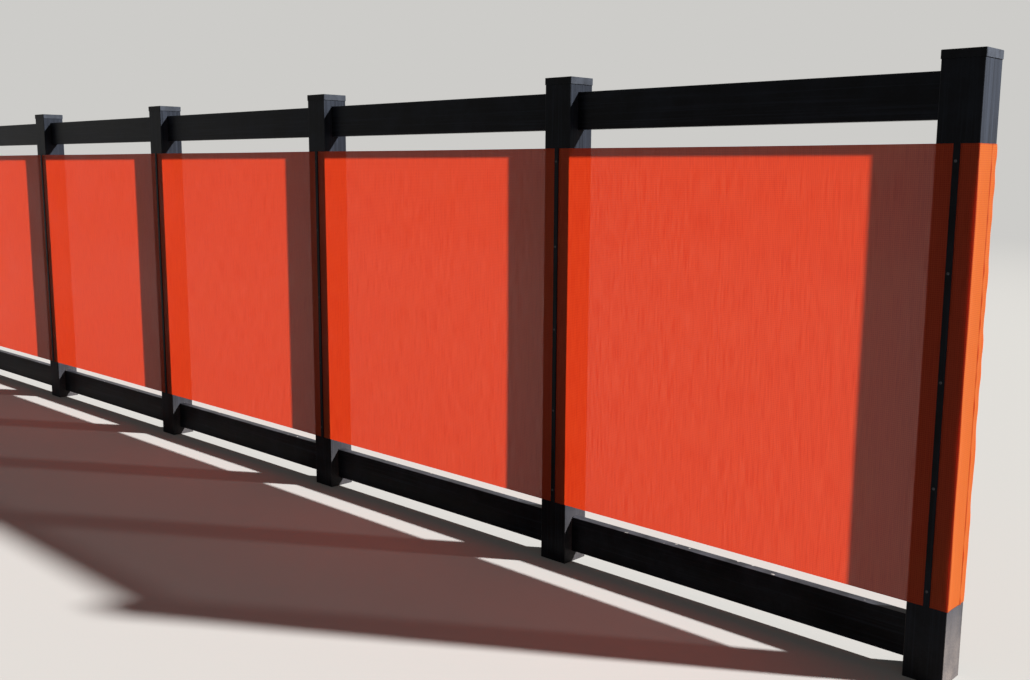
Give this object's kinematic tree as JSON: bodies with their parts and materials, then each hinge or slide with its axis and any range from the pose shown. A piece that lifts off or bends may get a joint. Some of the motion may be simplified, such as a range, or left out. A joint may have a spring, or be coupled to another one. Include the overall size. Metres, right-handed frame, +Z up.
{
  "type": "mesh screen fence",
  "caption": "Boundary fence: square hollow posts with flat caps, plank rails at top and bottom, and taut woven mesh screwed over the post fronts.",
  "frame": {"origin": "centre of the left end post's foot, at ground level", "axes": "+X along the fence to its right end, -Y faces the mesh side, +Z up"},
  "size_m": [7.752, 0.1376, 1.905],
  "materials": {
    "black_post_pvc": "satin",
    "black_cap_pvc": "satin",
    "black_rail_pvc": "satin",
    "black_batten": "satin",
    "orange_mesh": "coated woven mesh"
  },
  "bodies": {
    "root": {"post_1": "black_post_pvc", "post_2": "black_post_pvc", "post_3": "black_post_pvc", "post_4": "black_post_pvc", "post_5": "black_post_pvc", "post_6": "black_post_pvc", "cap_1": "black_cap_pvc", "cap_2": "black_cap_pvc", "cap_3": "black_cap_pvc", "cap_4": "black_cap_pvc", "cap_5": "black_cap_pvc", "cap_6": "black_cap_pvc", "top_rail_1": "black_rail_pvc", "top_rail_2": "black_rail_pvc", "top_rail_3": "black_rail_pvc", "top_rail_4": "black_rail_pvc", "top_rail_5": "black_rail_pvc", "bottom_rail_1": "black_rail_pvc", "bottom_rail_2": "black_rail_pvc", "bottom_rail_3": "black_rail_pvc", "bottom_rail_4": "black_rail_pvc", "bottom_rail_5": "black_rail_pvc", "batten_1": "black_batten", "batten_2": "black_batten", "batten_3": "black_batten", "batten_4": "black_batten", "batten_5": "black_batten", "batten_6": "black_batten", "back_batten_left": "black_batten", "back_batten_right": "black_batten", "mesh_screen": "orange_mesh", "mesh_wrap_left": "orange_mesh", "mesh_wrap_right": "orange_mesh"}
  },
  "joints": []
}
